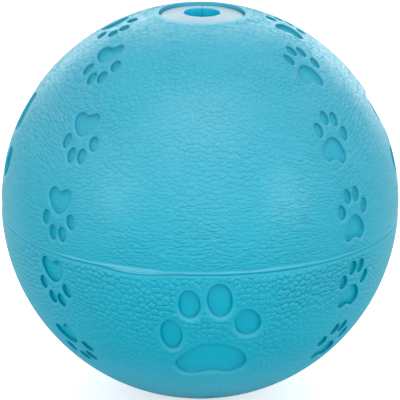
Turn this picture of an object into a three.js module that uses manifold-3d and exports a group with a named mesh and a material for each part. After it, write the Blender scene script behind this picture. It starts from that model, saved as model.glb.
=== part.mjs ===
// A hollow rubber treat ball for dogs. Two moulded half shells are bonded at a lapped seam just below
// the middle. A mouth tube is let into the top, and a maze disc is clamped between the two halves, so
// that a treat which falls in through the tube has to find its way round a wall to fall out again.
// Paw prints are pressed into the outside: a trail of small ones that climbs and falls round the ball
// in four arches, and a large one inside each arch.
// Millimetres, +Z up through the mouth, the front paw print towards -Y, and the origin at the lowest
// point of the ball, where it touches the floor.

import * as THREE from 'three';
import { mergeVertices } from 'three/addons/utils/BufferGeometryUtils.js';
import Module from 'manifold-3d';

const wasm = await Module();
wasm.setup();

// Ball
const ballDiameter = 110;
const wallThickness = 7;

// Seam: the lower shell's lip stands up inside the upper shell's skirt, with rubber cement between
const seamDrop = 2.5;
const lapHeight = 4;
const lapThickness = 3.5;
const cementFilm = 0.3;
const cementClearance = 0.1;
const flashProud = 0.05;

// Mouth: a flanged tube whose domed flange lies a little below the outside of the ball
const boreDiameter = 10;
const boreEdgeRadius = 0.6;
const tubeWall = 3;
const tubeStandoff = 14;
const tubeClearance = 0.3;
const recessDiameter = 23.6;
const recessDepth = 1.1;
const flangeEdge = 2.6;
const flangeClearance = 0.3;

// Maze disc: a floor across the middle, two kidney windows through it and a wall round the tube's end,
// with room for a treat to pass between the wall and the tube
const discThickness = 3.5;
const discClearance = 0.1;
const treatPassage = 12;
const mazeWallThickness = 3;
const mazeWallOverlap = 6;
const mazeGapWidth = 16;
const windowWidth = 14;
const windowMargin = 6;
const windowHalfSpan = 20;

// Prints: toes are ellipses [across, along, width, length, lean in degrees], pads are smooth closed
// outlines through the points given, all measured along the ball from the middle of the print, with
// the toes towards +y
const smallPrint = {
  depth: 1,
  toeSides: 7,
  padSides: 11,
  padRings: 1,
  toes: [
    [-4.6, 1.3, 3, 4.2, 12],
    [-1.7, 5, 3, 4.2, 3],
    [1.7, 5, 3, 4.2, -3],
    [4.6, 1.3, 3, 4.2, -12],
  ],
  pad: [
    [0, -0.2], [-2.3, -1.3], [-4.1, -4], [-3.9, -6.2], [-2.3, -7.2],
    [0, -6.3], [2.3, -7.2], [3.9, -6.2], [4.1, -4], [2.3, -1.3],
  ],
};
const largePrint = {
  depth: 1.2,
  toeSides: 12,
  padSides: 18,
  padRings: 2,
  toes: [
    [-10.2, -0.8, 5.9, 10.8, 5],
    [-5.7, 9.7, 5.9, 8.9, 4],
    [2.3, 10.9, 6.8, 10.4, 7],
    [9.9, 3.4, 7, 9.2, 15],
  ],
  pad: [
    [0.7, -3.1], [-3.1, -3.8], [-6.8, -7.9], [-8.9, -11.9], [-7.6, -15.4], [-4.6, -16.9],
    [1.3, -15.3], [5.6, -16.6], [9.2, -14.6], [10.3, -11.4], [8.6, -6.9], [4.9, -4],
  ],
};

// Places of the prints: [latitude, longitude, heading] in degrees. Longitude 0 is the front and grows
// to the right, and a heading of 0 points the toes up. The trail climbs on the right of the front and
// comes down on its left, and the far side repeats this half, turned half round.
const climbing = [
  [-55, 44, 18], [-33.4, 51.3, 0], [-12.3, 49.9, 3], [8.8, 48.5, 0],
  [31.2, 47.6, 18], [53.5, 56.8, 24], [65, 93, 85],
];
const descending = [
  [53.6, -53.1, 156], [31.1, -41.7, 174], [8.8, -43.3, 177], [-11.8, -45.7, 182],
  [-34.2, -46.5, 159], [-54, -36, 140], [-66, 3, 90],
];
const largeFront = [-22, 3.4, 0];
const largeRight = [18, 96, 180];
const largeLeft = [18, -91, 180];

// Fineness of the round surfaces
const ballSegments = 36;
const outerArcSteps = 9;
const innerArcSteps = 6;
const tubeSegments = 28;
const curveSegments = 8;
const flangeArcSteps = 3;
const edgeRoundSteps = 3;

// Working allowances: how far a print's tool stands out of the ball, and the corners taken as one
const stampProud = 2;
const weldDistance = 1e-4;

// Sizes that follow
const ballRadius = ballDiameter / 2;
const innerRadius = ballRadius - wallThickness;
const seamZ = -seamDrop;
const cementGap = cementFilm + 2 * cementClearance;
const upperRimZ = seamZ + cementGap / 2;
const lowerRimZ = seamZ - cementGap / 2;
const rimRadius = Math.sqrt(ballRadius ** 2 - seamZ ** 2);
const lipRadius = rimRadius - wallThickness + lapThickness;
const lipZ = seamZ + lapHeight;
const discBottomZ = lipZ + discClearance;
const discTopZ = discBottomZ + discThickness;
const stepZ = discTopZ + discClearance;

const boreRadius = boreDiameter / 2;
const tubeRadius = boreRadius + tubeWall;
const recessRadius = recessDiameter / 2;
const flangeRadius = recessRadius - flangeClearance;
const domeRadius = ballRadius - recessDepth;
const flangeSeatZ = heightOn(domeRadius, recessRadius) - flangeEdge;
const flangeBottomZ = flangeSeatZ + cementClearance;
const tubeFootZ = discTopZ + tubeStandoff;

const mazeWallMiddle = tubeRadius + treatPassage + mazeWallThickness / 2;
const mazeWallTopZ = tubeFootZ + mazeWallOverlap;
const windowMiddle = innerRadius - windowMargin - windowWidth / 2;

const rubber = {
  shell: new THREE.MeshStandardMaterial({ color: 0x4cb6cf, roughness: 0.55, metalness: 0 }),
  mouth: new THREE.MeshStandardMaterial({ color: 0x2aa9c6, roughness: 0.35, metalness: 0 }),
  maze: new THREE.MeshStandardMaterial({ color: 0x2f9fbb, roughness: 0.6, metalness: 0 }),
  cement: new THREE.MeshStandardMaterial({ color: 0x8fd0e0, roughness: 0.45, metalness: 0 }),
};

// Height of a sphere's surface at a distance from the vertical axis
function heightOn(radius, distance) {
  return Math.sqrt(radius ** 2 - distance ** 2);
}

// A three.js geometry as a solid that can be joined and cut
function solidOf(geometry) {
  const bare = geometry.clone();
  bare.deleteAttribute('normal');
  bare.deleteAttribute('uv');
  const merged = mergeVertices(bare, weldDistance);
  const corners = merged.index.array;
  const triangles = [];
  for (let i = 0; i < corners.length; i += 3) {
    const [a, b, c] = [corners[i], corners[i + 1], corners[i + 2]];
    if (a !== b && b !== c && c !== a) triangles.push(a, b, c);
  }
  return new wasm.Manifold(new wasm.Mesh({
    numProp: 3,
    vertProperties: Float32Array.from(merged.attributes.position.array),
    triVerts: Uint32Array.from(triangles),
  }));
}

// A finished solid as a named piece of the ball
function piece(name, solid, material) {
  const shape = solid.getMesh();
  const geometry = new THREE.BufferGeometry();
  geometry.setAttribute('position', new THREE.BufferAttribute(shape.vertProperties, 3));
  geometry.setIndex(new THREE.BufferAttribute(shape.triVerts, 1));
  geometry.computeVertexNormals();
  const mesh = new THREE.Mesh(geometry, material);
  mesh.name = name;
  return mesh;
}

// A section turned round the vertical axis. It runs up the outside and down the inside.
function turned(section, segments) {
  const points = section.map(([r, z]) => new THREE.Vector2(r, z));
  return solidOf(new THREE.LatheGeometry(points, segments).rotateX(Math.PI / 2));
}

// Points of a section along a sphere, from one height to another
function arc(radius, fromZ, toZ, steps) {
  const from = Math.asin(fromZ / radius);
  const to = Math.asin(toZ / radius);
  const points = [];
  for (let i = 0; i <= steps; i += 1) {
    const latitude = from + (to - from) * i / steps;
    points.push([Math.max(0, radius * Math.cos(latitude)), radius * Math.sin(latitude)]);
  }
  return points;
}

function closed(section) {
  return [...section, section[0]];
}

// The point of a sphere that lies at a distance across and along the ball from a print's middle
function onBall([across, along], [latitude, longitude, heading], radius) {
  const phi = THREE.MathUtils.degToRad(latitude);
  const lambda = THREE.MathUtils.degToRad(longitude);
  const turn = THREE.MathUtils.degToRad(heading);
  const out = new THREE.Vector3(
    Math.cos(phi) * Math.sin(lambda), -Math.cos(phi) * Math.cos(lambda), Math.sin(phi));
  const east = new THREE.Vector3(Math.cos(lambda), Math.sin(lambda), 0);
  const north = new THREE.Vector3().crossVectors(out, east);
  const eastward = across * Math.cos(turn) + along * Math.sin(turn);
  const northward = along * Math.cos(turn) - across * Math.sin(turn);
  const distance = Math.hypot(eastward, northward);
  const angle = distance / ballRadius;
  const spread = distance > 0 ? Math.sin(angle) / distance : 0;
  return out.multiplyScalar(Math.cos(angle))
    .addScaledVector(east, eastward * spread)
    .addScaledVector(north, northward * spread)
    .multiplyScalar(radius);
}

// A closed ring of rows of points and a middle at each end, as one geometry
function stampGeometry(rows, topMiddle, bottomMiddle) {
  const sides = rows[0].length;
  const points = [...rows.flat(), topMiddle, bottomMiddle];
  const top = points.length - 2;
  const bottom = points.length - 1;
  const index = [];
  for (let i = 0; i < sides; i += 1) {
    const next = (i + 1) % sides;
    index.push(top, i, next);
    for (let row = 0; row + 1 < rows.length; row += 1) {
      const upper = row * sides;
      const lower = upper + sides;
      index.push(lower + i, lower + next, upper + next, lower + i, upper + next, upper + i);
    }
    const last = (rows.length - 1) * sides;
    index.push(last + i, bottom, last + next);
  }
  return new THREE.BufferGeometry().setFromPoints(points).setIndex(index);
}

// The tool that presses one outline into the ball: its walls point at the ball's centre and its end
// is domed as the ball is, in one or more rings
function stamp(outline, place, depth, rings) {
  const floor = ballRadius - depth;
  const [midX, midY] = middleOf(outline);
  const row = (share, radius) => outline.map(([x, y]) => (
    onBall([midX + (x - midX) * share, midY + (y - midY) * share], place, radius)));
  const rows = [row(1, ballRadius + stampProud)];
  for (let ring = rings; ring > 0; ring -= 1) rows.push(row(ring / rings, floor));
  return solidOf(stampGeometry(
    rows,
    onBall([midX, midY], place, ballRadius + stampProud),
    onBall([midX, midY], place, floor),
  ));
}

function toeOutline([across, along, width, length, lean], sides) {
  const tilt = THREE.MathUtils.degToRad(lean);
  const outline = [];
  for (let i = 0; i < sides; i += 1) {
    const angle = 2 * Math.PI * i / sides;
    const x = Math.cos(angle) * width / 2;
    const y = Math.sin(angle) * length / 2;
    outline.push([
      across + x * Math.cos(tilt) - y * Math.sin(tilt),
      along + x * Math.sin(tilt) + y * Math.cos(tilt),
    ]);
  }
  return outline;
}

function padOutline(pad, sides) {
  const corners = pad.map(([x, y]) => new THREE.Vector3(x, y, 0));
  const curve = new THREE.CatmullRomCurve3(corners, true);
  return curve.getSpacedPoints(sides).slice(0, sides).map(({ x, y }) => [x, y]);
}

function middleOf(outline) {
  const sum = outline.reduce(([x, y], point) => [x + point[0], y + point[1]], [0, 0]);
  return [sum[0] / outline.length, sum[1] / outline.length];
}

// The stamps of one paw print
function pawStamps(print, place) {
  const toes = print.toes.map((toe) => stamp(toeOutline(toe, print.toeSides), place, print.depth, 1));
  const pad = stamp(padOutline(print.pad, print.padSides), place, print.depth, print.padRings);
  return [...toes, pad];
}

function mirrored(print) {
  return {
    ...print,
    toes: print.toes.map(([across, along, width, length, lean]) => [-across, along, width, length, -lean]),
    pad: print.pad.map(([x, y]) => [-x, y]).reverse(),
  };
}

function behind([latitude, longitude, heading]) {
  return [latitude, longitude + 180, heading];
}

// All prints whose middle lies on one side of the seam, joined for cutting
function printsIn(isHere) {
  const trail = [...climbing, ...descending];
  const prints = [
    ...trail.map((place) => [smallPrint, place]),
    ...trail.map((place) => [smallPrint, behind(place)]),
    [largePrint, largeFront],
    [largePrint, behind(largeFront)],
    [largePrint, largeRight],
    [mirrored(largePrint), largeLeft],
  ];
  const here = prints.filter(([, [latitude]]) => isHere(latitude));
  return wasm.Manifold.union(here.flatMap(([print, place]) => pawStamps(print, place)));
}

// Upper shell: a cup with the stepped mouth at its top and a thin skirt at its rim
function upperShell() {
  const tubeHole = tubeRadius + tubeClearance;
  const skirtRadius = lipRadius + cementGap;
  const section = closed([
    ...arc(ballRadius, upperRimZ, 0, 1),
    ...arc(ballRadius, 0, heightOn(ballRadius, recessRadius), outerArcSteps).slice(1),
    [recessRadius, flangeSeatZ],
    [tubeHole, flangeSeatZ],
    ...arc(innerRadius, heightOn(innerRadius, tubeHole), stepZ, innerArcSteps),
    [skirtRadius, stepZ],
    [skirtRadius, upperRimZ],
  ]);
  return turned(section, ballSegments).subtract(printsIn((latitude) => latitude > 0));
}

// Lower shell: a cup whose rim carries the lip that the upper shell's skirt laps over
function lowerShell() {
  const section = [
    ...arc(ballRadius, -ballRadius, lowerRimZ, outerArcSteps),
    [lipRadius, lowerRimZ],
    [lipRadius, lipZ],
    ...arc(innerRadius, lipZ, -innerRadius, innerArcSteps),
  ];
  return turned(section, ballSegments).subtract(printsIn((latitude) => latitude < 0));
}

// Seam bond: the cured cement in the lap, with its flash just showing along the seam
function seamBond() {
  const inside = lipRadius + cementClearance;
  const outside = rimRadius + flashProud;
  const low = seamZ - cementFilm / 2;
  const high = seamZ + cementFilm / 2;
  return turned(closed([
    [inside, low], [outside, low], [outside, high],
    [inside + cementFilm, high], [inside + cementFilm, lipZ], [inside, lipZ],
  ]), ballSegments);
}

// A quarter round of a section, turning left from a direction in degrees
function quarterRound(centre, radius, from) {
  const points = [];
  for (let i = 0; i <= edgeRoundSteps; i += 1) {
    const angle = THREE.MathUtils.degToRad(from + 90 * i / edgeRoundSteps);
    points.push([centre[0] + radius * Math.cos(angle), centre[1] + radius * Math.sin(angle)]);
  }
  return points;
}

// Mouth tube: a domed flange in the recess and a plain tube below it, with rounded bore edges
function mouthTube() {
  const edge = boreRadius + boreEdgeRadius;
  const lipCentreZ = heightOn(domeRadius, edge) - boreEdgeRadius;
  const footCentreZ = tubeFootZ + boreEdgeRadius;
  return turned(closed([
    [tubeRadius, tubeFootZ],
    [tubeRadius, flangeBottomZ],
    [flangeRadius, flangeBottomZ],
    ...arc(domeRadius, heightOn(domeRadius, flangeRadius), heightOn(domeRadius, edge), flangeArcSteps),
    ...quarterRound([edge, lipCentreZ], boreEdgeRadius, 90).slice(1),
    ...quarterRound([edge, footCentreZ], boreEdgeRadius, 180),
  ]), tubeSegments);
}

function extruded(shape, fromZ, toZ) {
  const options = { depth: toZ - fromZ, bevelEnabled: false, curveSegments };
  return solidOf(new THREE.ExtrudeGeometry(shape, options).translate(0, 0, fromZ));
}

// An outline that follows an arc round the axis from one direction to the other, with round ends
function bowed(path, radius, width, from, to) {
  const half = width / 2;
  const end = [radius * Math.cos(to), radius * Math.sin(to)];
  const start = [radius * Math.cos(from), radius * Math.sin(from)];
  path.absarc(0, 0, radius + half, from, to, false);
  path.absarc(end[0], end[1], half, to, to + Math.PI, false);
  path.absarc(0, 0, radius - half, to, from, true);
  path.absarc(start[0], start[1], half, from + Math.PI, from + 2 * Math.PI, false);
  return path;
}

// Maze disc: clamped at its edge, with a window to either side and a wall that is open to the front
function mazeDisc() {
  const outline = new THREE.Shape();
  const span = THREE.MathUtils.degToRad(windowHalfSpan);
  for (const side of [0, Math.PI]) {
    outline.absarc(0, 0, lipRadius, side, side + Math.PI, false);
    outline.holes.push(bowed(new THREE.Path(), windowMiddle, windowWidth, side - span, side + span));
  }
  const halfGap = Math.asin((mazeGapWidth + mazeWallThickness) / 2 / mazeWallMiddle);
  const front = -Math.PI / 2;
  const wall = bowed(
    new THREE.Shape(), mazeWallMiddle, mazeWallThickness, front + halfGap, front + 2 * Math.PI - halfGap);
  const wallFootZ = discBottomZ + discThickness / 2;
  const disc = extruded(outline, discBottomZ, discTopZ);
  return disc.add(extruded(wall, wallFootZ, mazeWallTopZ));
}

const ball = new THREE.Group();
ball.position.z = ballRadius;
ball.add(
  piece('upper_shell', upperShell(), rubber.shell),
  piece('lower_shell', lowerShell(), rubber.shell),
  piece('mouth_tube', mouthTube(), rubber.mouth),
  piece('maze_disc', mazeDisc(), rubber.maze),
  piece('seam_bond', seamBond(), rubber.cement),
);

export default ball;
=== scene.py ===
# %% [markdown]
# # A rubber treat ball
# This is a hollow ball of soft rubber that a dog rolls about for the food inside it. Two moulded half shells
# meet at a seam just below the middle, a flanged tube makes the mouth at the top, and a maze disc inside
# slows the food down. The outside has a leather-like grain and a trail of pressed paw prints.
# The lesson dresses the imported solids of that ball. It turns finer shells, presses the prints into them and
# gives every piece the finish of moulded rubber, in metres and in the frame of the solids.

# %% Load the solids as the frame
import math
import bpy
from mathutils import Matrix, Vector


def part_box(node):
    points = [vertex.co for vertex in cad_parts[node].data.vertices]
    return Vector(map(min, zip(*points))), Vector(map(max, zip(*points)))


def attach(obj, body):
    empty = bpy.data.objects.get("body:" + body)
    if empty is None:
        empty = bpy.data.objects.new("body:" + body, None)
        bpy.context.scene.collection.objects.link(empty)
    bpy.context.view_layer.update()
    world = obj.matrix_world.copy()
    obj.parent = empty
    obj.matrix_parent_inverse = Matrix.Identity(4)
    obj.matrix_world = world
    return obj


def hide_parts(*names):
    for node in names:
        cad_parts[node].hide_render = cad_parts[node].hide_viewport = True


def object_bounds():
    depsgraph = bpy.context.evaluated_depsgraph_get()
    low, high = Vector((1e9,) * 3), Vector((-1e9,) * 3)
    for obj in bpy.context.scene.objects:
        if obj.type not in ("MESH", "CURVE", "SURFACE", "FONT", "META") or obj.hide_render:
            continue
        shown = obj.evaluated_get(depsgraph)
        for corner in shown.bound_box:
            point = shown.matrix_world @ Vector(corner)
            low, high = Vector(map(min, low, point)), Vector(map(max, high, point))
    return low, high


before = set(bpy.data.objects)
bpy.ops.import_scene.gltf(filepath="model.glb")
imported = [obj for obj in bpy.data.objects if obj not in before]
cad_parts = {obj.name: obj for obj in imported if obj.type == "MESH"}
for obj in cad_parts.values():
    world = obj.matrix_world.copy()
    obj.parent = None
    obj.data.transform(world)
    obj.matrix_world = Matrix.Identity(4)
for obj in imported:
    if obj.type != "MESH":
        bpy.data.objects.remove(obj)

from types import SimpleNamespace

import bmesh
import bpy
import numpy as np
from mathutils import Matrix, Vector

cad_low, cad_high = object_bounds()
print("solids:", ", ".join(sorted(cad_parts)))

# %% [markdown]
# ## Sizes
# The boxes round the solids give most of the sizes, so a finer shell can't drift away from its solid. What a
# box can't tell, such as the thickness of a wall, is written here once, as it is in the model of the solids.

# %% Read the sizes off the solids
MM = 0.001
wall = 7 * MM
cement_film = 0.3 * MM
cement_clearance = 0.1 * MM
disc_thickness = 3.5 * MM
disc_clearance = 0.1 * MM
bore_radius = 5 * MM
tube_wall = 3 * MM
tube_clearance = 0.3 * MM
recess_depth = 1.1 * MM
flange_edge = 2.6 * MM

ball_radius = (cad_high.x - cad_low.x) / 2
inner_radius = ball_radius - wall
ball_centre = Vector((0, 0, ball_radius))
upper_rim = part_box("upper_shell")[0].z
recess_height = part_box("upper_shell")[1].z
lip_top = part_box("lower_shell")[1].z
lip_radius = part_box("maze_disc")[1].x
seam_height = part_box("seam_bond")[0].z + cement_film / 2
lower_rim = 2 * seam_height - upper_rim
mouth_low, mouth_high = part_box("mouth_tube")
flange_radius = mouth_high.x
tube_foot = mouth_low.z
tube_radius = bore_radius + tube_wall
recess_radius = math.sqrt(ball_radius**2 - (recess_height - ball_radius) ** 2)
dome_radius = ball_radius - recess_depth
print(f"ball {2 * ball_radius / MM:.1f} mm across, seam at {seam_height / MM:.1f} mm")

# %% [markdown]
# ## Camera
# The photograph looks down on the ball from the front with a long lens, so the near and far sides of the ball
# are almost the same size. The camera stands on a line that leaves the centre of the ball at that angle, and
# it is turned a little about that line, because the ball stands a little askew in the picture.

# %% Set up the camera
camera_elevation = math.radians(18.07)
camera_distance = 743.6 * MM
camera_lens = 241.1
camera_roll = math.radians(0.6)

away = Vector((0, -math.cos(camera_elevation), math.sin(camera_elevation)))
bpy.ops.object.select_all(action="DESELECT")
bpy.ops.object.camera_add(location=ball_centre + away * camera_distance)
camera = bpy.context.object
facing_ball = away.to_track_quat("Z", "Y").to_matrix()
camera.rotation_euler = (facing_ball @ Matrix.Rotation(camera_roll, 3, "Z")).to_euler()
camera.data.lens = camera_lens
bpy.context.scene.camera = camera
print("camera at", [round(x / MM) for x in camera.location], "mm")

# %% [markdown]
# ## Shapes that are turned
# Each half shell, the mouth and the cement in the seam are round about the upright axis, so each is turned
# like a pot: its section is drawn corner by corner and then spun once round. Round stretches of a section are
# arcs, with 0 degrees pointing outwards and 90 degrees pointing up.

# %% Draw a section and spin it
weld = 0.002 * MM


def arc(centre, radius, start, end, steps):
    """Points along an arc of a section, from one direction to the other."""
    turns = np.radians(np.linspace(start, end, steps + 1))
    return [(centre[0] + radius * math.cos(turn), centre[1] + radius * math.sin(turn)) for turn in turns]


def turn_piece(name, section, steps):
    """Draws a section through points (distance from the axis, height) and spins it into a solid."""
    bpy.ops.object.select_all(action="DESELECT")
    bpy.ops.mesh.primitive_plane_add(size=MM, calc_uvs=False)
    piece = bpy.context.object
    piece.name = name
    bpy.context.tool_settings.mesh_select_mode = (True, False, False)
    bpy.ops.object.mode_set(mode="EDIT")
    bpy.ops.mesh.merge(type="CENTER")
    here = (0, 0)
    for index, point in enumerate(section):
        step = (point[0] - here[0], 0, point[1] - here[1])
        if index == 0:
            bpy.ops.transform.translate(value=step)
        else:
            bpy.ops.mesh.extrude_region_move(TRANSFORM_OT_translate={"value": step})
        here = point
    bpy.ops.mesh.select_all(action="SELECT")
    bpy.ops.mesh.spin(steps=steps, angle=2 * math.pi, center=(0, 0, 0), axis=(0, 0, 1))
    bpy.ops.mesh.select_all(action="SELECT")
    bpy.ops.mesh.remove_doubles(threshold=weld)
    bpy.ops.mesh.normals_make_consistent(inside=False)
    bpy.ops.object.mode_set(mode="OBJECT")
    print(f"{name}: {len(piece.data.polygons)} faces turned from {len(section)} corners")
    return piece


# %% [markdown]
# ## Upper shell
# The upper half is a cup with a stepped hole at its top. A mould leaves no knife edges, so the edge of the
# hole and the rim at the seam are rounded. A fillet between the ball and a straight wall is a small circle
# that touches both: its centre lies one fillet radius inside the ball and one beside the wall.

# %% Turn the upper shell
shell_steps = 200
ring_turn = 1.75
fine_turn = 0.26
fine_rings = 16
rim_round = 0.14 * MM
lip_round = 0.25 * MM


def height_on(radius, distance):
    """Height of a ball's upper surface, about the ball's centre, at a distance from the axis."""
    return math.sqrt(radius**2 - distance**2)


def turn_of(distance, height):
    """Direction in degrees from the ball's centre to a point of a section."""
    return math.degrees(math.atan2(height - ball_radius, distance))


def along_ball(start, end, radius=ball_radius, turn=ring_turn):
    """Points along the ball between two directions, without its end."""
    steps = max(1, round(abs(end - start) / turn))
    return arc((0, ball_radius), radius, start, end, steps)[:-1]


rim_z = upper_rim + rim_round
rim_centre = (height_on(ball_radius - rim_round, rim_z - ball_radius), rim_z)
lip_centre = (
    recess_radius + lip_round,
    ball_radius + height_on(ball_radius - lip_round, recess_radius + lip_round),
)
seat_height = ball_radius + height_on(dome_radius, recess_radius) - flange_edge
tube_hole = tube_radius + tube_clearance
step_height = lip_top + disc_thickness + 2 * disc_clearance
skirt_radius = lip_radius + cement_film + 2 * cement_clearance
rim_end = turn_of(*rim_centre)
fine_end = rim_end + fine_turn * fine_rings
inner_top = math.degrees(math.acos(tube_hole / inner_radius))
inner_step = math.degrees(math.asin((step_height - ball_radius) / inner_radius))

upper_section = arc(rim_centre, rim_round, -90, rim_end, 3)[:-1]
upper_section += along_ball(rim_end, fine_end, turn=fine_turn)
upper_section += along_ball(fine_end, turn_of(*lip_centre))
upper_section += arc(lip_centre, lip_round, turn_of(*lip_centre), 180, 5)
upper_section += [(recess_radius, seat_height), (tube_hole, seat_height)]
upper_section += along_ball(inner_top, inner_step, inner_radius, 3 * ring_turn)
upper_section += arc((0, ball_radius), inner_radius, inner_step, inner_step, 1)[:1]
upper_section += [(skirt_radius, step_height), (skirt_radius, upper_rim), upper_section[0]]
upper_half = turn_piece("upper_half", upper_section, shell_steps)

# %% [markdown]
# ## Lower shell
# The lower half is a plain cup. Its rim carries a lip that stands up inside the upper shell, so that the two
# halves find each other when they are bonded.

# %% Turn the lower shell
lower_rim_z = lower_rim - rim_round
lower_rim_centre = (height_on(ball_radius - rim_round, lower_rim_z - ball_radius), lower_rim_z)
lower_end = turn_of(*lower_rim_centre)
lower_fine = lower_end - fine_turn * fine_rings
lip_turn = math.degrees(math.asin((lip_top - ball_radius) / inner_radius))

lower_section = along_ball(-90, lower_fine)
lower_section += along_ball(lower_fine, lower_end, turn=fine_turn)
lower_section += arc(lower_rim_centre, rim_round, lower_end, 90, 3)
lower_section += [(lip_radius, lower_rim), (lip_radius, lip_top)]
lower_section += along_ball(lip_turn, -90, inner_radius, 3 * ring_turn)
lower_section += [(0, ball_radius - inner_radius)]
lower_half = turn_piece("lower_half", lower_section, shell_steps)

# %% [markdown]
# ## Paw prints
# The prints were cut into the mould as raised figures, so they come out pressed into the rubber. There is one
# small print, which makes the trail, and one large print, which fills the arches of the trail. Each print is
# four toes and a pad, drawn flat in millimetres with its toes pointing up. A toe is an ellipse that may be
# fuller at one end, like an egg, and a pad is a smooth loop through a few points.

# %% Draw the two prints
toe_points = 36
span_points = 6


def toe(across, along, width, length, lean, egg):
    """Outline of a toe. It leans to the left, and a positive egg makes it fuller at its tip."""
    turns = np.linspace(0, 2 * math.pi, toe_points, endpoint=False)
    x = np.cos(turns) * width / 2 * (1 + egg * np.sin(turns))
    y = np.sin(turns) * length / 2
    tilt = math.radians(lean)
    turned_x = x * math.cos(tilt) - y * math.sin(tilt)
    turned_y = x * math.sin(tilt) + y * math.cos(tilt)
    return np.column_stack((across + turned_x, along + turned_y)) * MM


def pad(corners):
    """Outline of a pad: a smooth loop through its corners."""
    corners = np.array(corners, float)
    before, after, beyond = (np.roll(corners, shift, axis=0) for shift in (1, -1, -2))
    loop = []
    for share in np.arange(span_points) / span_points:
        line = 2 * corners + (after - before) * share
        bow = (2 * before - 5 * corners + 4 * after - beyond) * share**2
        twist = (3 * corners - before - 3 * after + beyond) * share**3
        loop.append((line + bow + twist) / 2)
    return np.stack(loop, axis=1).reshape(-1, 2) * MM


small_print = [
    toe(-4.6, 1.3, 3.0, 4.2, 12, -0.05),
    toe(-1.7, 5.0, 3.0, 4.2, 3, -0.05),
    toe(1.7, 5.0, 3.0, 4.2, -3, -0.05),
    toe(4.6, 1.3, 3.0, 4.2, -12, -0.05),
    pad([(0, -0.2), (-2.3, -1.3), (-4.1, -4), (-3.9, -6.2), (-2.3, -7.2),
         (0, -6.3), (2.3, -7.2), (3.9, -6.2), (4.1, -4), (2.3, -1.3)]),
]
large_print = [
    toe(-10.2, -0.8, 5.9, 10.8, 5, 0.06),
    toe(-5.7, 9.7, 5.9, 8.9, 4, -0.03),
    toe(2.3, 10.9, 6.8, 10.4, 7, 0.02),
    toe(9.9, 3.4, 7.0, 9.2, 15, -0.08),
    pad([(0.7, -3.1), (-3.1, -3.8), (-6.8, -7.9), (-8.9, -11.9), (-7.6, -15.4), (-4.6, -16.9),
         (1.3, -15.3), (5.6, -16.6), (9.2, -14.6), (10.3, -11.4), (8.6, -6.9), (4.9, -4)]),
]
mirrored_print = [outline * (-1, 1) for outline in large_print]
print("corners in a small print:", sum(len(outline) for outline in small_print))

# %% [markdown]
# ## Where the prints lie
# A place is a latitude, a longitude and a heading in degrees. Longitude 0 is the front and grows to the
# right, and a heading of 0 points the toes up. The trail climbs on the right of the front and comes down on
# its left, as the seam of a tennis ball does, and the far side repeats this half, turned half round.

# %% Place the prints
climbing = [
    (-66, 52, 18), (-33.4, 51.3, 0), (-12.3, 49.9, 3), (8.8, 48.5, 0),
    (31.2, 47.6, 18), (53.5, 56.8, 24), (65, 93, 85),
]
descending = [
    (53.6, -53.1, 156), (31.1, -41.7, 174), (8.8, -43.3, 177), (-11.8, -45.7, 182),
    (-34.2, -46.5, 159), (-70, -52, 150), (-66, 3, 90),
]
large_front = (-22, 3.4, 0)
large_right = (18, 96, 180)
large_left = (18, -91, 180)


def behind(place):
    """The same place on the far side of the ball."""
    return (place[0], place[1] + 180, place[2])


prints = []
for place in climbing + descending:
    prints += [(small_print, place), (small_print, behind(place))]
for place in (large_front, behind(large_front), large_right):
    prints.append((large_print, place))
prints.append((mirrored_print, large_left))
print(len(prints), "prints on the ball")

# %% [markdown]
# ## How far a point lies inside a print
# To press a print into a round surface, each point of the shell is laid out flat about the middle of the
# print, as a map maker lays out the globe about a pole, and its distance to the nearest outline is measured.
# The distance is positive inside a toe or a pad and negative outside.

# %% Measure points of the shell against the prints
print_reach = 22 * MM


def flat_plan(points, place):
    """Points of the shell in the flat plan of a print, and how far each lies from its middle."""
    latitude, longitude, heading = (math.radians(angle) for angle in place)
    level = math.cos(latitude)
    out = np.array((level * math.sin(longitude), -level * math.cos(longitude), math.sin(latitude)))
    east = np.array((math.cos(longitude), math.sin(longitude), 0))
    north = np.cross(out, east)
    ways = points - np.array(ball_centre)
    ways /= np.linalg.norm(ways, axis=1)[:, None]
    angle = np.arccos(np.clip(ways @ out, -1, 1))
    spread = ball_radius * angle / np.maximum(np.sin(angle), 1e-9)
    eastward = ways @ east * spread
    northward = ways @ north * spread
    across = eastward * math.cos(heading) - northward * math.sin(heading)
    along = eastward * math.sin(heading) + northward * math.cos(heading)
    return np.column_stack((across, along)), angle * ball_radius


def distance_inside(points, outline):
    """How far flat points lie inside an outline, negative outside it."""
    edge = np.roll(outline, -1, axis=0) - outline
    way = points[:, None] - outline[None]
    share = np.clip((way * edge).sum(2) / (edge * edge).sum(1), 0, 1)
    nearest = np.linalg.norm(way - share[:, :, None] * edge, axis=2).min(axis=1)
    below = way[:, :, 1] < 0
    crossed = below != np.roll(below, -1, axis=1)
    slope = np.where(edge[:, 1] == 0, 1, edge[:, 1])
    left = way[:, :, 0] < way[:, :, 1] * edge[:, 0] / slope
    inside = (crossed & left).sum(axis=1) % 2 == 1
    return np.where(inside, nearest, -nearest)


def inside_prints(points, chosen):
    """The greatest distance inside any outline of the chosen prints."""
    found = np.full(len(points), -print_reach)
    for outlines, place in chosen:
        plan, away_from_middle = flat_plan(points, place)
        near = np.flatnonzero(away_from_middle < print_reach)
        for outline in outlines:
            found[near] = np.maximum(found[near], distance_inside(plan[near], outline))
    return found


# %% [markdown]
# ## Refining the shells
# A pressed print needs small faces at its walls and nowhere else. So the faces near an outline are found in
# code and subdivided, first in a wide band and then in narrower ones. Near the bottom the faces are narrow
# already, so the prints there skip the last band.

# %% Refine the faces near the prints
bands = ((-1.25 * MM, 1.3 * MM, 2), (-0.42 * MM, 0.62 * MM, 1), (-0.12 * MM, 0.3 * MM, 1))
narrow_below = -60
outside_skin = ball_radius - 0.05 * MM


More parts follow.
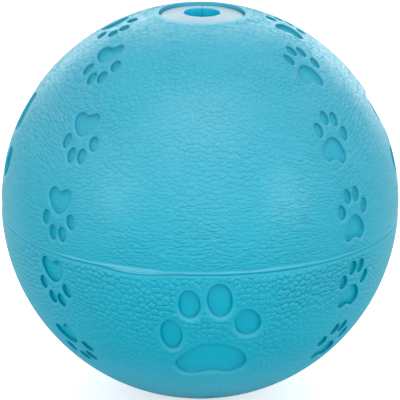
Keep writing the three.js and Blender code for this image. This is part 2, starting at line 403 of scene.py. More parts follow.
def places_of(piece, kind):
    """The places of a mesh's points, or of the middles of its faces."""
    source = piece.data.vertices if kind == "points" else piece.data.polygons
    flat = np.empty(len(source) * 3)
    source.foreach_get("co" if kind == "points" else "center", flat)
    return flat.reshape(-1, 3)


def on_outside(points):
    """Which points lie on the outside of the ball."""
    return np.linalg.norm(points - np.array(ball_centre), axis=1) > outside_skin


def select_only(piece):
    """Selects one piece and makes it the active one."""
    bpy.ops.object.select_all(action="DESELECT")
    piece.select_set(True)
    bpy.context.view_layer.objects.active = piece


def refine(piece, chosen, start, end, cuts):
    """Subdivides the faces of a shell that lie in a band along the outlines of its prints."""
    middles = places_of(piece, "faces")
    inside = inside_prints(middles, chosen)
    wanted = on_outside(middles) & (inside > start) & (inside < end)
    select_only(piece)
    bpy.context.tool_settings.mesh_select_mode = (False, False, True)
    piece.data.vertices.foreach_set("select", np.zeros(len(piece.data.vertices), bool))
    piece.data.edges.foreach_set("select", np.zeros(len(piece.data.edges), bool))
    piece.data.polygons.foreach_set("select", wanted)
    bpy.ops.object.mode_set(mode="EDIT")
    bpy.ops.mesh.subdivide(number_cuts=cuts)
    bpy.ops.object.mode_set(mode="OBJECT")


def refine_by_bands(piece, chosen):
    """Refines a shell along its prints, band by band."""
    for band in bands[:-1]:
        refine(piece, chosen, *band)
    refine(piece, [kept for kept in chosen if kept[1][0] > narrow_below], *bands[-1])


# %% [markdown]
# ## Pressing a shell in
# A Displace modifier pushes the shell in along its normals, by the weight of each point: nothing outside a
# print, all of it on the floor, and a smooth step between the two that stands for the rounded wall. Other
# numbers are noted for each point as attributes, for the finish to read.

# %% Press a shell in
deepest = 1.2 * MM


def smooth_step(values, start, end):
    """A soft step from 0 to 1 between two values."""
    share = np.clip((values - start) / (end - start), 0, 1)
    return share * share * (3 - 2 * share)


def press(piece, weights):
    """Pushes the points of a shell in by their weights."""
    group = piece.vertex_groups.new(name="pressed")
    for index in np.flatnonzero(weights):
        group.add([int(index)], float(weights[index]), "REPLACE")
    select_only(piece)
    dent = piece.modifiers.new("prints", "DISPLACE")
    dent.vertex_group = group.name
    dent.mid_level = 0
    dent.strength = -deepest
    bpy.ops.object.modifier_apply(modifier=dent.name)


def note(piece, name, values):
    """Keeps a number for each point of a piece, for its finish to read."""
    kept = piece.data.attributes.new(name, "FLOAT", "POINT")
    kept.data.foreach_set("value", values.astype(np.float32))


# %% [markdown]
# ## The lips of the seam
# When the halves are bonded, both rims swell out a little and are trimmed smooth. Beside the seam the shells
# are therefore pressed in a little, so that the upper rim stands out as a narrow lip, and the lower rim
# starts low under it and comes up to the outside of the ball. A trimmed edge is never even, so the width of
# both lips wanders round the ball. The painted highlight on the upper lip wanders too. In a few places
# flash, which is rubber that was squeezed out of the seam, hangs over the lower rim.

# %% Let the seam wander
width_waves = ((3, 0.12, 1.0), (7, 0.26, 4.7), (16, 0.1, 0.4), (31, 0.07, 3.0))
highlight_waves = ((3, 0.3, 2.36),)
mean_lip_highlight = 0.85
flank_lip_highlight = 0.4
flank_span = (0.5, 0.8)
flash_places = ((-17, 13), (112, 9), (-140, 12))
flash_flat = 0.2


def longitudes(points):
    """The longitude of each point, in radians from the front."""
    return np.arctan2(points[:, 0], -points[:, 1])


def at_flanks(points):
    """1 at the left and right of the ball, and 0 at its front and back."""
    return smooth_step(np.abs(np.sin(longitudes(points))), *flank_span)


def wandering(points, waves):
    """A sum of waves that run round the ball."""
    turn = longitudes(points)
    return sum(size * np.sin(count * turn + start) for count, size, start in waves)


def lip_width(points):
    """A number near 1 for the width of the lips."""
    return 1 + wandering(points, width_waves)


def lip_highlight(points):
    """How strong the painted highlight on the upper lip is."""
    return mean_lip_highlight + wandering(points, highlight_waves) + flank_lip_highlight * at_flanks(points)


def seam_flash(points):
    """How far the flash hangs over the lower rim, from 0 to 1."""
    turn = np.degrees(longitudes(points))
    flash = np.zeros(len(points))
    for middle, half_width in flash_places:
        aside = np.abs((turn - middle + 180) % 360 - 180)
        flash = np.maximum(flash, 1 - smooth_step(aside, flash_flat * half_width, half_width))
    return flash


# %% [markdown]
# ## Both sides of the seam
# Each side of the seam gives four numbers for a point: how deep it is sunk, how much of the grain is left,
# how much painted highlight it gets and how much painted shade. Flash is a flat tongue with a painted
# highlight, and its edge is a fine step with painted shade.

# %% Shape both sides of the seam
lip_sunk = 0.2 * MM
upper_lip = 1.1 * MM
upper_slope = 4.0 * MM
upper_edge = 0.25 * MM
lower_lip = 1.1 * MM
lower_edge = 0.2 * MM
lower_sunk = 0.4
lower_lip_highlight = 0.2
flash_reach = 0.6 * MM
tongue_end = (-0.15 * MM, 0.05 * MM)
step_start = (-0.1 * MM, 0.05 * MM)
step_end = (0.1 * MM, 0.4 * MM)
step_sunk = 0.6
step_shade = 0.5


def upper_seam(points):
    """The four numbers of points above the seam."""
    from_seam = (points[:, 2] - seam_height) / lip_width(points)
    sunk = smooth_step(from_seam, upper_edge, upper_lip)
    sunk *= 1 - smooth_step(from_seam, upper_lip, upper_slope)
    grain = smooth_step(from_seam, 0.5 * upper_lip, 1.2 * upper_lip)
    # The upper lip gets a painted highlight
    pale = 1 - smooth_step(from_seam, 0.4 * upper_lip, 0.9 * upper_lip)
    return lip_sunk * sunk, grain, pale * lip_highlight(points), 0 * pale


def lower_seam(points):
    """The four numbers of points below the seam, where the flash hangs."""
    from_seam = (seam_height - points[:, 2]) / lip_width(points)
    flash = seam_flash(points)
    hangs = smooth_step(flash, 0.0, 0.3)
    past_flash = from_seam - flash_reach * flash
    tongue = hangs * (1 - smooth_step(past_flash, *tongue_end))
    step = hangs * smooth_step(past_flash, *step_start) * (1 - smooth_step(past_flash, *step_end))
    sunk = lower_sunk * (1 - smooth_step(from_seam, lower_edge, lower_lip)) * (1 - tongue) + step_sunk * step
    grain = smooth_step(past_flash, 0.35 * lower_lip, 1.3 * lower_lip)
    # The lower lip and the flash tongue get a painted highlight, and the step below the flash painted shade
    pale = np.maximum(lower_lip_highlight * (1 - grain) * (1 - step), tongue)
    return lip_sunk * sunk, grain, pale, step_shade * step


# %% [markdown]
# ## A flat plan for the grain
# The grain is drawn flat and wrapped round the ball. A ball can't be laid flat in one piece, so it is laid
# out as the six sides of a cube that is blown up into a ball. On the upper shell the plan is squeezed across
# and drawn out upwards, which makes the cells of the grain wide and low there, like wrinkles.

# %% Lay the shells out flat
cube_sides = ((0, 1, 2), (1, 0, 2), (2, 0, 1))
side_spacing = 200
plan_heights = (-90, -2.5, 18, 45, 90)
wrinkled_rows = (-90, -2.5, 32, 68, 128)
wrinkled_across = 0.8


def lay_out(piece, is_lower):
    """Gives a shell a flat plan in millimetres."""
    mesh = piece.data
    points = np.empty(len(mesh.loops), np.int32)
    mesh.loops.foreach_get("vertex_index", points)
    corners = np.empty(len(mesh.polygons), np.int32)
    mesh.polygons.foreach_get("loop_total", corners)
    middles = places_of(piece, "faces") - np.array(ball_centre)
    side = np.abs(middles).argmax(axis=1)
    facing = np.repeat(side, corners)
    beyond = np.repeat(middles[np.arange(len(middles)), side] > 0, corners)
    ways = (places_of(piece, "points") - np.array(ball_centre))[points]
    plan = np.empty((len(points), 2))
    for axis, across, up in cube_sides:
        chosen = facing == axis
        ahead = np.abs(ways[chosen, axis])
        plan[chosen, 0] = np.arctan2(ways[chosen, across], ahead)
        plan[chosen, 1] = np.arctan2(ways[chosen, up], ahead)
    plan *= ball_radius / MM
    if not is_lower:
        plan[:, 1] = np.interp(plan[:, 1], plan_heights, wrinkled_rows)
        plan[:, 0] *= wrinkled_across
    plan[:, 0] += side_spacing * (2 * facing + beyond)
    mesh.uv_layers.new(name="grain_plan").uv.foreach_set("vector", plan.astype(np.float32).ravel())


# %% [markdown]
# ## Rims and corners of the prints
# Painted highlight and painted shade draw the edges of a print. The rim below it faces up and gets a painted
# highlight, its walls get painted shade, and so does the floor under its upper wall. To tell on which side
# of a print a point lies, its distance to the outlines is measured twice, the second time a little higher up:
# where the distance grows, the print lies above the point.

# %% Find the rims and corners of the prints
probe = 0.2 * MM
small_edges = {
    "wall_span": (-0.08 * MM, 0.24 * MM),
    "rim_span": (0.1 * MM, 0.8 * MM),
    "shade_span": (0.3 * MM, 2.0 * MM),
    "shade_share": 0.5,
}
large_edges = {
    "wall_span": (-0.15 * MM, 0.6 * MM),
    "rim_span": (0.5 * MM, 1.5 * MM),
    "shade_span": (0.6 * MM, 3.0 * MM),
    "shade_share": 0.35,
}


def edges_of(points, chosen, wall_span, rim_span, shade_span, shade_share):
    """How far points lie inside prints, how much they are floor, and their painted rim highlight and corner
    shade.
    """
    inside = inside_prints(points, chosen)
    growth = (inside_prints(points + (0, 0, probe), chosen) - inside) / probe
    floor = smooth_step(inside, *wall_span)
    rim = np.clip(growth, 0, 1) * (1 - smooth_step(-inside, *rim_span)) * (1 - floor)
    shade = np.clip(-growth, 0, 1) * (1 - smooth_step(inside, *shade_span)) * floor
    return inside, floor, rim, np.maximum(4 * floor * (1 - floor), shade_share * shade)


# %% [markdown]
# ## Where the grain is strong
# The grain is strongest just below the seam and gets weaker towards the bottom. It stops short of the large
# prints, of the mouth and of a circle as wide at the bottom. It is a little weaker at the sides, and runs
# faintly over the floors of the small prints. Above the seam it is wrinkled.

# %% Measure the strength of the grain
grain_latitudes = (-90, -60, -45, -34, -28, -21, -14, -8, -3, -2.5, 6, 25, 60, 90)
grain_strengths = (0.2, 0.36, 0.6, 0.66, 0.74, 0.87, 1.12, 1.2, 1.1, 0.95, 0.95, 0.85, 0.9, 0.9)
wrinkled_latitudes = (-2.5, 15, 45, 90)
wrinkled_shares = (0.9, 0.9, 0.75, 0.7)
large_margin = (0.3 * MM, 1.7 * MM)
small_margin = (0.1 * MM, 0.9 * MM)
small_floor_span = (0.2 * MM, 1.0 * MM)
small_floor_grain = 0.6
recess_margin = (0.4 * MM, 2 * MM)
side_span = (0.72, 0.92)
side_loss = 0.3


def latitudes(points):
    """The latitude of each point in degrees."""
    return np.degrees(np.arcsin(np.clip((points[:, 2] - ball_radius) / ball_radius, -1, 1)))


def from_recess(points):
    """How much further than the wall of the recess points lie from the axis."""
    return np.hypot(points[:, 0], points[:, 1]) - recess_radius


def grain_strength(points, large, small):
    """How strong the grain is, from the distances inside the large and the small prints."""
    strength = np.interp(latitudes(points), grain_latitudes, grain_strengths)
    strength *= smooth_step(-large, *large_margin)
    strength *= smooth_step(-small, *small_margin) + small_floor_grain * smooth_step(small, *small_floor_span)
    strength *= 1 - side_loss * smooth_step(np.abs(points[:, 0]) / ball_radius, *side_span)
    return strength * smooth_step(from_recess(points), *recess_margin)


# %% [markdown]
# ## Finishing the shells
# Each shell is refined, laid out flat and pressed. Five numbers are kept for every point, for the rubber to
# read: how strong the grain is, how much of the point is floor of a print, how much painted shade it gets in
# a corner, how wrinkled the grain is, and how much painted highlight it gets on a rim. The prints below the
# seam get the darkest painted shade in their corners.

# %% Finish the outside of each shell
small_depth = 1.0 * MM
large_shade = 0.47
upper_shade = 0.42
lower_shade = 0.88
large_rim_highlight = 0.7
small_rim_highlight = 0.5
recess_rim_highlight = 0.6
recess_rim_span = (0.2 * MM, 0.7 * MM)
smooth_angle = math.radians(50)


def finish_outside(piece, chosen, is_lower):
    """Refines a shell, presses its prints and its side of the seam, and notes what its finish needs."""
    refine_by_bands(piece, chosen)
    points = places_of(piece, "points")
    outside = on_outside(points)
    large_ones = [kept for kept in chosen if kept[0] is not small_print]
    small_ones = [kept for kept in chosen if kept[0] is small_print]
    large, large_floor, large_rim, large_corner_shade = edges_of(points, large_ones, **large_edges)
    small, small_floor, small_rim, small_corner_shade = edges_of(points, small_ones, **small_edges)
    sunk, grain, lip, step = lower_seam(points) if is_lower else upper_seam(points)
    grain *= grain_strength(points, large, small)
    small_shade = lower_shade if is_lower else upper_shade
    # Painted shade in the corners of the prints, darkest below the seam, and on the step under the flash
    corner = np.max((large_shade * large_corner_shade, small_shade * small_corner_shade, step), axis=0)
    wrinkled = np.interp(latitudes(points), wrinkled_latitudes, wrinkled_shares) * (0 if is_lower else 1)
    recess_rim = (1 - smooth_step(from_recess(points), *recess_rim_span)) * (points[:, 2] > seat_height)
    # Painted highlight on the seam lip, on the rims below the prints and round the recess
    pale = np.max((lip, large_rim_highlight * large_rim, small_rim_highlight * small_rim, recess_rim_highlight * recess_rim), axis=0)
    weights = np.max((deepest * large_floor, small_depth * small_floor, sunk), axis=0) / deepest
    note(piece, "grain", grain * outside)
    note(piece, "floor", np.maximum(large_floor, small_floor) * outside)
    note(piece, "corner", corner * outside)
    note(piece, "wrinkled", wrinkled)
    note(piece, "pale", pale)
    lay_out(piece, is_lower)
    press(piece, weights * outside)
    bpy.ops.object.shade_smooth_by_angle(angle=smooth_angle)
    triangles = sum(len(face.vertices) - 2 for face in piece.data.polygons)
    print(f"{piece.name}: {len(chosen)} prints pressed, {triangles} triangles")


finish_outside(upper_half, [kept for kept in prints if kept[1][0] > 0], is_lower=False)
finish_outside(lower_half, [kept for kept in prints if kept[1][0] < 0], is_lower=True)

# %% [markdown]
# ## Cement in the seam
# The bond is a thin ring of cured cement between the two rims. It shows as a flat line with a shallow groove
# below it. At the left and right of the ball and behind the flash the cement fills the groove, so its lower
# edge is moved down there. That edge isn't quite even either: a cloud texture pushes it up and down a little.

# %% Turn the line of cement
bead_low = seam_height - 0.12 * MM
bead_high = upper_rim - 0.01 * MM
bead_round = 0.07 * MM
bead_sunk = 0.01 * MM
bead_depth = 1.6 * MM
bead_wobble = 0.16 * MM
wobble_size = 6 * MM
bead_steps = 360
groove_depth = 0.35 * MM
groove_height = 0.1 * MM
rim_radius = height_on(ball_radius, seam_height - ball_radius)
bead_face = rim_radius - bead_sunk - bead_round
groove_foot = lower_rim + 0.01 * MM
bead_section = [(rim_radius - groove_depth, groove_foot), (rim_radius - groove_depth, bead_low)]
bead_section += arc((bead_face, bead_low + bead_round), bead_round, -90, 0, 3)
bead_section += arc((bead_face, bead_high - bead_round), bead_round, 0, 90, 3)
bead_section += [(rim_radius - bead_depth, bead_high), (rim_radius - bead_depth, groove_foot)]
bead_section += bead_section[:1]
seam_line = turn_piece("seam_line", bead_section, bead_steps)
bead_edge = seam_line.vertex_groups.new(name="lower edge")
lower_points = [
    point.index for point in seam_line.data.vertices
    if point.co.z < seam_height and math.hypot(point.co.x, point.co.y) > rim_radius - 0.9 * groove_depth
]
bead_edge.add(lower_points, 1.0, "REPLACE")
edge_places = places_of(seam_line, "points")[lower_points]
filled = np.maximum(at_flanks(edge_places), seam_flash(edge_places))
for index, share in zip(lower_points, filled):
    seam_line.data.vertices[index].co.z -= groove_height * share
clouds = bpy.data.textures.new("uneven cement", "CLOUDS")
clouds.noise_scale = wobble_size
wobble = seam_line.modifiers.new("uneven", "DISPLACE")
wobble.vertex_group = bead_edge.name
wobble.texture = clouds
wobble.texture_coords = "LOCAL"
wobble.direction = "Z"
wobble.mid_level = 0.5
wobble.strength = bead_wobble
bpy.ops.object.modifier_apply(modifier=wobble.name)
bpy.ops.object.shade_smooth_by_angle(angle=smooth_angle)

# %% [markdown]
# ## Mouth
# The mouth is a tube with a domed flange that lies a little below the outside of the ball. It was moulded in
# two halves, and the line where they met crosses the flange and runs down the bore, at the front and the
# back. The turned mouth is cut along that line and beside it, and the middle cut is sunk.

# %% Turn the mouth and sink its mould line
bore_round = 0.3 * MM
flange_round = 0.35 * MM
mouth_steps = 144
dome_turn = 0.8
bore_ring = 2 * MM
bore_rings = 13
line_half = 0.2 * MM
line_depth = 0.25 * MM
notch_reach = 1.0 * MM

bore_edge = bore_radius + bore_round
bore_lip = (bore_edge, ball_radius + height_on(dome_radius, bore_edge) - bore_round)
flange_lip_r = flange_radius - flange_round
flange_lip = (flange_lip_r, ball_radius + height_on(dome_radius - flange_round, flange_lip_r))
flange_bottom = seat_height + cement_clearance
mouth_section = [(tube_radius, tube_foot), (tube_radius, flange_bottom), (flange_radius, flange_bottom)]
mouth_section += arc(flange_lip, flange_round, 0, turn_of(*flange_lip), 4)[:-1]
bore_turn = turn_of(bore_edge, bore_lip[1] + bore_round)
mouth_section += along_ball(turn_of(*flange_lip), bore_turn, dome_radius, dome_turn)
mouth_section += arc(bore_lip, bore_round, 90, 180, 6)
mouth_section += [(bore_radius, bore_lip[1] - bore_ring * step) for step in range(1, bore_rings + 1)]
mouth_section += arc((bore_edge, tube_foot + bore_round), bore_round, 180, 270, 4)
mouth_section += mouth_section[:1]
mouth = turn_piece("mouth", mouth_section, mouth_steps)

bpy.ops.object.mode_set(mode="EDIT")
for offset in (-line_half, 0, line_half):
    bpy.ops.mesh.select_all(action="SELECT")
    bpy.ops.mesh.bisect(plane_co=(offset, 0, 0), plane_no=(1, 0, 0))
bpy.ops.mesh.select_all(action="DESELECT")
shape = bmesh.from_edit_mesh(mouth.data)
for point in shape.verts:
    reach = math.hypot(point.co.x, point.co.y)
    in_bore = reach < bore_edge and point.co.z > tube_foot + 2 * bore_round
    on_flange = point.co.z > flange_lip[1] - flange_round and point.co.y > -bore_edge - notch_reach
    point.select = abs(point.co.x) < weld and (in_bore or on_flange)
shape.select_flush_mode()
bpy.ops.transform.shrink_fatten(value=-line_depth)
bpy.ops.object.mode_set(mode="OBJECT")
bpy.ops.object.shade_smooth_by_angle(angle=smooth_angle)

# %% [markdown]
# ## Writing a finish
# A finish is a material whose shader is fed by a few nodes. To keep the sums readable, one small class wraps
# the output of a node and lets Python's own signs add the Math nodes, and one method adds any other node.

# %% Wrap shader nodes
class Reading:
    """The output of a node, which can stand in a sum."""

    def __init__(self, finish, socket):
        self.finish = finish
        self.socket = socket

    def combined(self, operation, first, second):
        """Adds a Math node."""
        return self.finish.node("ShaderNodeMath", {"operation": operation}, {0: first, 1: second})

    def __add__(self, other):
        return self.combined("ADD", self, other)

    def __sub__(self, other):
        return self.combined("SUBTRACT", self, other)

    def __rsub__(self, other):
        return self.combined("SUBTRACT", other, self)

    def __mul__(self, other):
        return self.combined("MULTIPLY", self, other)

    def __truediv__(self, other):
        return self.combined("DIVIDE", self, other)

    __radd__ = __add__
    __rmul__ = __mul__


class Finish:
    """A material or the world, its shader and the nodes that feed it."""

    def __init__(self, owner, shader="Principled BSDF"):
        owner.use_nodes = True
        self.owner = owner
        self.tree = owner.node_tree
        self.shader = self.tree.nodes[shader]

    def feed(self, socket, value):
        """Links a reading to a socket, or sets the socket to a plain value."""
        if isinstance(value, Reading):
            self.tree.links.new(value.socket, socket)
        else:
            socket.default_value = value

    def node(self, kind, settings=None, sockets=None, output=0):
        """Adds a node, sets it up, feeds its sockets and gives one of its outputs."""
        made = self.tree.nodes.new(kind)
        for name, value in (settings or {}).items():
            setattr(made, name, value)
        for name, value in (sockets or {}).items():
            self.feed(made.inputs[name], value)
        return Reading(self, made.outputs[output])

    def set(self, **sockets):
        """Feeds the shader's sockets, named with _ for a space."""
        for name, value in sockets.items():
            self.feed(self.shader.inputs[name.replace("_", " ")], value)

    def mixed(self, share, first, second):
        """A colour between two colours."""
        return self.node(
            "ShaderNodeMix", {"data_type": "RGBA"}, {0: share, 6: first, 7: second}, output=2)

    def stepped(self, value, start, end):
        """A soft step from 0 to 1 between two values."""
        return self.node(
            "ShaderNodeMapRange", {"interpolation_type": "SMOOTHSTEP"},
            {"Value": value, "From Min": start, "From Max": end})

    def dress(self, *pieces):
        """Gives this finish to pieces."""
        for piece in pieces:
            piece.data.materials.clear()
            piece.data.materials.append(self.owner)
        names = ", ".join(piece.name for piece in pieces)
        print(f"{self.owner.name}: {len(self.tree.nodes)} nodes, on {names}")


# %% [markdown]
# ## What a finish can read
# A finish reads where a point lies, the numbers that were noted for it, and soft noise. Sizes in a finish
# are in millimetres, so places are scaled to them first.

# %% Read places, notes and noise
def object_mm(finish):
    """Places on a piece in millimetres."""
    places = finish.node("ShaderNodeTexCoord", output="Object")
    return finish.node("ShaderNodeVectorMath", {"operation": "SCALE"}, {0: places, "Scale": 1 / MM})


def upward(finish, vector):
    """How far a place or a direction reaches up."""
    return finish.node("ShaderNodeSeparateXYZ", None, {0: vector}, output="Z")


def noted(finish, name):
    """A number that was noted for each point of a piece."""
    return finish.node("ShaderNodeAttribute", {"attribute_name": name}, output="Fac")


def noise(finish, places, size, detail=2.0, output=0):
    """Soft noise whose lumps have about the given size in millimetres."""
    return finish.node(
        "ShaderNodeTexNoise", None, {"Vector": places, "Scale": 1 / size, "Detail": detail}, output)


# %% [markdown]
# ## Cells and wrinkles
# The outside of the shells looks like pebbled leather: small cells with flat tops that meet in narrow
# creases. Cells like these are what a Voronoi texture makes. Its distances to the middle and to the edge of a
# cell together give the flat top and the steep side. The plan is warped a little, so that no two cells are
# alike, and on the upper shell soft noise drawn out sideways adds wrinkles.

# %% Draw cells and wrinkles
cell_size = 1.7
cell_reach = 0.55
cell_scatter = 0.8
side_start = 0.52
crease_start = 0.75
warp_size = 5.0
warp_reach = 0.6
wrinkled_warp = 5
wrinkle_size = 1.5
wrinkle_draw = (0.45, 1.0, 1.0)


def warped_plan(finish, wrinkled):
    """The flat plan of a shell, warped by noise."""
    plan = finish.node("ShaderNodeUVMap", {"uv_map": "grain_plan"})
    reach = warp_reach * (1 + wrinkled_warp * wrinkled)
    shove = noise(finish, plan, warp_size, output=1)
    shove = finish.node("ShaderNodeVectorMath", {"operation": "SCALE"}, {0: shove, "Scale": reach})
    return finish.node("ShaderNodeVectorMath", {"operation": "ADD"}, {0: plan, 1: shove})


def cells(finish, plan, feature):
    """A distance in the flat Voronoi cells of the grain."""
    settings = {"voronoi_dimensions": "2D", "feature": feature}
    sockets = {"Vector": plan, "Scale": 1 / cell_size, "Randomness": cell_scatter}
    return finish.node("ShaderNodeTexVoronoi", settings, sockets)


def caps_and_creases(finish, plan):
    """How high the caps of the cells stand, and where the creases between them run."""
    to_middle = cells(finish, plan, "F1")
    outwards = to_middle / (to_middle + cells(finish, plan, "DISTANCE_TO_EDGE"))
    cap = 1 - finish.stepped(0.5 * outwards + 0.5 / cell_reach * to_middle, side_start, 1.0)
    return cap, finish.stepped(outwards, crease_start, 1.0)


def drawn_out_noise(finish, plan):
    """Wrinkles that run sideways."""
    drawn = finish.node("ShaderNodeVectorMath", {"operation": "MULTIPLY"}, {0: plan, 1: wrinkle_draw})
    return noise(finish, drawn, wrinkle_size, 3)


# %% [markdown]
# ## Shape of the grain
# Cells, wrinkles and a very fine unevenness add up to one height, and a Bump node makes it visible. The grain
# is weaker in some patches. What leans further up than the smooth shell is kept as settled, and what leans
# further down as shaded. The gloss uses both, and so does the colour, for painted highlight and painted
# shade.

# %% Shape the grain
grain_height = 0.24 * MM
wrinkle_share = 1.4
cap_loss = 0.3
fine_size = 0.45
fine_share = 0.05
patch_size = 14
patch_span = (0.3, 0.75)
patch_loss = 0.4
lean_span = (0.0, 0.4)


def shape_grain(finish):
    """What the finish of the shells reads at a point."""
    notes = {name: noted(finish, name) for name in ("grain", "floor", "corner", "wrinkled", "pale")}
    at = SimpleNamespace(places=object_mm(finish), **notes)
    at.height = upward(finish, at.places)
    plan = warped_plan(finish, at.wrinkled)
    cap, at.crease = caps_and_creases(finish, plan)
    at.wrinkles = drawn_out_noise(finish, plan)
    patches = finish.stepped(noise(finish, at.places, patch_size), *patch_span)
    at.strength = at.grain * (1 - patch_loss * patches)
    pebbles = (1 - cap_loss * at.wrinkled) * cap
    relief = at.strength * (pebbles + wrinkle_share * at.wrinkled * at.wrinkles)
    relief = relief + fine_share * noise(finish, at.places, fine_size, 3)
    at.bump = finish.node(
        "ShaderNodeBump", None, {"Strength": 1.0, "Distance": grain_height, "Height": relief})
    smooth = finish.node("ShaderNodeNewGeometry", output="Normal")
    lean = upward(finish, at.bump) - upward(finish, smooth)
    # settled gets a painted highlight in the colour, and shaded gets painted shade
    at.settled = finish.stepped(lean, *lean_span)
    at.shaded = finish.stepped(0 - lean, *lean_span)
    return at


# %% [markdown]
# ## Painted sheen
# The upper part of the ball is painted paler, as a painted sheen of the light from above. It lies in soft
# clouds, thins out a little at the top, and is thicker on what leans up.

# %% Paint a sheen on the upper rubber
top_sheen_size = 22
top_sheen_heights = (40, 95)
thin_sheen_heights = (88, 106)
top_sheen_even = 0.6
top_sheen_cloudy = 0.8
top_sheen_lost = 0.2
top_sheen_level = 0.66
bloom_settled = 0.34
top_sheen_shaded = 0.5


def painted_top_sheen(finish, at):
    """How much painted sheen lies on the upper rubber."""
    painted_sheen = top_sheen_even + top_sheen_cloudy * noise(finish, at.places, top_sheen_size, 4)
    painted_sheen = painted_sheen * finish.stepped(at.height, *top_sheen_heights)
    painted_sheen = painted_sheen * (1 - top_sheen_lost * finish.stepped(at.height, *thin_sheen_heights))
    return painted_sheen * (top_sheen_level + at.strength * (bloom_settled * at.settled - top_sheen_shaded * at.shaded))


# %% [markdown]
# ## Colour of the grain
# Painted creases alone would look like a net, so the colour follows the slope of the grain: sides that face
# up get a painted highlight, and sides that face down get painted shade. The underside of the ball is painted
# lighter, as light from the floor. Rims get a painted highlight, and the corners of the prints painted shade.

# %% Colour the grain
rubber_colour = (0.0, 0.385, 0.53, 1)
settled_colour = (0.05, 0.5, 0.66, 1)
painted_shade_colour = (0.0, 0.2, 0.3, 1)
top_sheen_colour = (0.085, 0.405, 0.545, 1)
floor_bounce_colour = (0.1, 0.49, 0.65, 1)
lip_highlight_colour = (0.11, 0.49, 0.65, 1)
floor_colour = (0.0, 0.40, 0.55, 1)
corner_shade_colour = (0.0, 0.165, 0.245, 1)
settled_share = 0.5
settled_wrinkled = 0.3
shaded_share = 0.4
shaded_wrinkled = 0.2
crease_shade_share = 0.2
floor_bounce_heights = (0, 28)
floor_bounce_share = 0.95
rim_cloud_size = 12
rim_even = 0.3
floor_share = 0.2


def shell_colour(finish, at):
    """The rubber's colour with its painted light and shade, layer by layer."""
    layers = (
        # A painted sheen on the upper part of the ball
        (painted_top_sheen(finish, at), top_sheen_colour),
        # Painted highlight on sides that lean up, and painted shade on sides that lean down
        (at.settled * at.strength * (settled_share - settled_wrinkled * at.wrinkled), settled_colour),
        (at.shaded * at.strength * (shaded_share - shaded_wrinkled * at.wrinkled), painted_shade_colour),
        # Painted shade in the creases between the cells
        (crease_shade_share * at.crease * at.strength * (1 - at.wrinkled), painted_shade_colour),
        # The underside is painted lighter, as painted light from the floor
        (floor_bounce_share * (1 - finish.stepped(at.height, *floor_bounce_heights)), floor_bounce_colour),
        # Painted highlight on the seam lip and on the rims of the prints and the recess
        (at.pale * (rim_even + noise(finish, at.places, rim_cloud_size)), lip_highlight_colour),
        (floor_share * at.floor, floor_colour),
        # Painted shade in the corners of the prints
        (at.corner, corner_shade_colour),
    )
    colour = rubber_colour
    for share, layer_colour in layers:
        colour = finish.mixed(share, colour, layer_colour)
    return colour


# %% [markdown]
# ## Gloss of the grain
# The gloss is a thin clear coat, and what varies is how much of it is left. It is thinner in the creases, in
# the prints and on the lower half. Seen along the surface, only the tops of the wrinkles keep it.

# %% Make the grained rubber
coat_left = 0.73
settled_gain = 0.15
shaded_loss = 0.3
crease_loss = 0.2
grazed_loss = 1.2
wrinkle_swing = 0.6
grazed_swing = 3.6
grazed_heights = (55, 85)
floor_loss = 0.3
dull_share = 0.6
dull_heights = (20, 60)
corner_loss = 0.9
corner_span = (0.0, 0.4)


def shell_coat(finish, at):
    """How much of the clear coat is left."""
    grazed = finish.node("ShaderNodeLayerWeight", None, {"Blend": 0.5}, output="Facing")
    grazed = grazed * finish.stepped(at.height, *grazed_heights)
    leaning = settled_gain * at.settled - shaded_loss * at.shaded
    creased = (crease_loss + grazed_loss * grazed * at.wrinkled) * at.crease
    swing = (wrinkle_swing + grazed_swing * grazed) * at.wrinkled * (at.wrinkles - 0.5)
    coat = (coat_left + at.strength * (leaning - creased + swing)) * (1 - floor_loss * at.floor)
    coat = coat * (dull_share + (1 - dull_share) * finish.stepped(at.height, *dull_heights))
    return coat * (1 - corner_loss * finish.stepped(at.corner, *corner_span))


shell_rubber = Finish(bpy.data.materials.new("shell_rubber"))
shell_point = shape_grain(shell_rubber)
shell_rubber.set(
    Base_Color=shell_colour(shell_rubber, shell_point),
    Roughness=0.6,
    Specular_IOR_Level=0.0,
    Coat_Weight=shell_coat(shell_rubber, shell_point),
    Coat_Roughness=0.36,
    Coat_IOR=1.45,
    Normal=shell_point.bump,
)
shell_rubber.dress(upper_half, lower_half)

# %% [markdown]
# ## Smooth rubber and cement
# The mouth came from a polished part of the mould, so it is smooth and mirrors the white room. Its own colour
# is deep, and the flange still looks almost white from the front. The bore is painted a brighter, purer blue
# than the rest of the same rubber, as painted light. The maze disc is moulded the same way but left matt.
# The cement is a little deeper than the rubber, and where flash hangs over it, it gets the painted highlight
# of the lip.

# %% Make the smooth finishes
lit_bore_colour = (0.0, 0.53, 0.73, 1)
bore_rim = bore_radius + 0.05 * MM
cloud_size = 9
speck_size = 0.6
speck_height = 0.012 * MM


def smooth_finish(name, colour, cloud_colour, roughness, mirror, coat, painted_light_colour=None):
    """Moulded rubber without grain: faint clouds in its colour and very fine unevenness."""
    finish = Finish(bpy.data.materials.new(name))
    places = object_mm(finish)
    shown = finish.mixed(noise(finish, places, cloud_size, 4), colour, cloud_colour)
    # Where the note says so, a painted light colour is mixed in
    if painted_light_colour:
        shown = finish.mixed(noted(finish, "painted_light"), shown, painted_light_colour)
    fine = noise(finish, places, speck_size, 3)
    bump = finish.node("ShaderNodeBump", None, {"Strength": 1.0, "Distance": speck_height, "Height": fine})
    finish.set(
        Base_Color=shown,
        Roughness=roughness + 0.1 * fine,
        Specular_IOR_Level=mirror,
        Coat_Weight=coat,
        Coat_Roughness=0.25,
        Normal=bump,
    )
    return finish


mouth_points = places_of(mouth, "points")
from_axis = np.hypot(mouth_points[:, 0], mouth_points[:, 1])
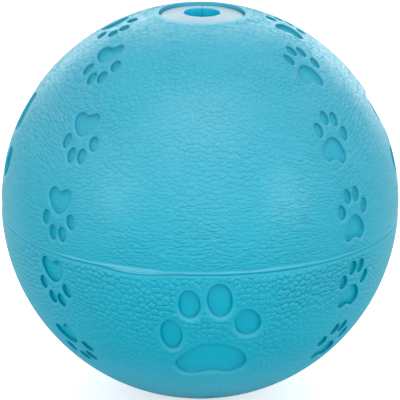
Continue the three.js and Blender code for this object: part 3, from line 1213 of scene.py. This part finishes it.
# The bore is painted a brighter blue, as painted light
note(mouth, "painted_light", 1 - smooth_step(from_axis, bore_rim, bore_edge))
# The cement gets the painted highlight of the lip where flash hangs over it
note(seam_line, "painted_light", seam_flash(places_of(seam_line, "points")))
smooth_finish(
    "mouth_rubber", colour=(0.09, 0.26, 0.35, 1), cloud_colour=(0.10, 0.29, 0.39, 1),
    roughness=0.36, mirror=0.5, coat=0.25, painted_light_colour=lit_bore_colour,
).dress(mouth)
smooth_finish(
    "seam_cement", colour=(0.0, 0.35, 0.49, 1), cloud_colour=(0.02, 0.39, 0.53, 1),
    roughness=0.6, mirror=0.1, coat=0.0, painted_light_colour=lip_highlight_colour,
).dress(seam_line)
smooth_finish(
    "maze_rubber", colour=(0.02, 0.34, 0.48, 1), cloud_colour=(0.03, 0.38, 0.53, 1),
    roughness=0.55, mirror=0.3, coat=0.0,
).dress(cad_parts["maze_disc"])

# %% [markdown]
# ## Lamps
# The photograph was taken in a bright white studio. A weak lamp stands in front, two stronger ones stand in
# front at the sides, a large one hangs above, and three stand behind: a high one that the mouth mirrors, and
# two low ones that draw the pale sheen along the upper edges of the ball.

# %% Light the ball
lamp_distance = 0.8
lamps = (
    ("lamp_front", 0, 10, 0.5, 0.8),
    ("lamp_front_left", -50, 15, 0.28, 4.7),
    ("lamp_front_right", 50, 15, 0.28, 5.3),
    ("lamp_above", 0, 62, 0.6, 2.3),
    ("lamp_back", 180, 38, 0.55, 2.2),
    ("lamp_back_left", -158, 13, 0.35, 2.4),
    ("lamp_back_right", 155, 11, 0.4, 3.0),
)


def soft_lamp(name, azimuth, elevation, size, brightness):
    """A square lamp that faces the ball. Azimuth 0 is in front and 90 is to the right."""
    turn = math.radians(azimuth)
    rise = math.radians(elevation)
    way = Vector((math.sin(turn) * math.cos(rise), -math.cos(turn) * math.cos(rise), math.sin(rise)))
    bpy.ops.object.select_all(action="DESELECT")
    bpy.ops.object.light_add(type="AREA", location=ball_centre + way * lamp_distance)
    lamp = bpy.context.object
    lamp.name = name
    lamp.rotation_euler = way.to_track_quat("Z", "Y").to_euler()
    lamp.data.size = size
    lamp.data.energy = brightness * math.pi * size**2
    lamp.visible_camera = False


for lamp_row in lamps:
    soft_lamp(*lamp_row)
print(len(lamps), "lamps")

# %% [markdown]
# ## White surroundings
# The room is white to the camera and in the sheen, and lights the ball at half that strength. The floor is a
# sheet of matt paper. To the camera it glows, so that it comes out white and darkens only a little under the
# ball.

# %% Lay the floor and whiten the room
room_light = 0.5
paper_size = 6


def ray(finish, kind):
    """1 for rays of one kind, and 0 for all others."""
    return finish.node("ShaderNodeLightPath", output=kind)


bpy.context.scene.world = bpy.data.worlds.new("white studio")
sky = Finish(bpy.context.scene.world, "Background")
mirrored = ray(sky, "Is Glossy Ray") + ray(sky, "Is Transmission Ray")
seen = ray(sky, "Is Camera Ray") + mirrored
sky.set(Color=(1, 1, 1, 1), Strength=room_light + (1 - room_light) * seen)

bpy.ops.object.select_all(action="DESELECT")
bpy.ops.mesh.primitive_plane_add(size=paper_size)
paper = bpy.context.object
paper.name = "floor"
white_paper = Finish(bpy.data.materials.new("white_paper"))
white_paper.set(
    Base_Color=(0.85, 0.85, 0.85, 1),
    Roughness=0.9,
    Specular_IOR_Level=0.0,
    Emission_Color=white_paper.mixed(ray(white_paper, "Is Camera Ray"), (0, 0, 0, 1), (0.6, 0.6, 0.6, 1)),
    Emission_Strength=1.0,
)
white_paper.dress(paper)
bpy.context.scene.view_settings.view_transform = "Standard"

# %% [markdown]
# ## Fixing the pieces to the part
# Nothing on this ball moves, so every piece rides on its one body. Each turned piece stands for its solid.

# %% Fix the pieces and finish
for piece, node, slot in (
    (upper_half, "upper_shell", "shell_rubber"),
    (lower_half, "lower_shell", "shell_rubber"),
    (mouth, "mouth_tube", "mouth_rubber"),
    (seam_line, "seam_bond", "seam_cement"),
):
    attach(piece, "root")
    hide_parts(node)
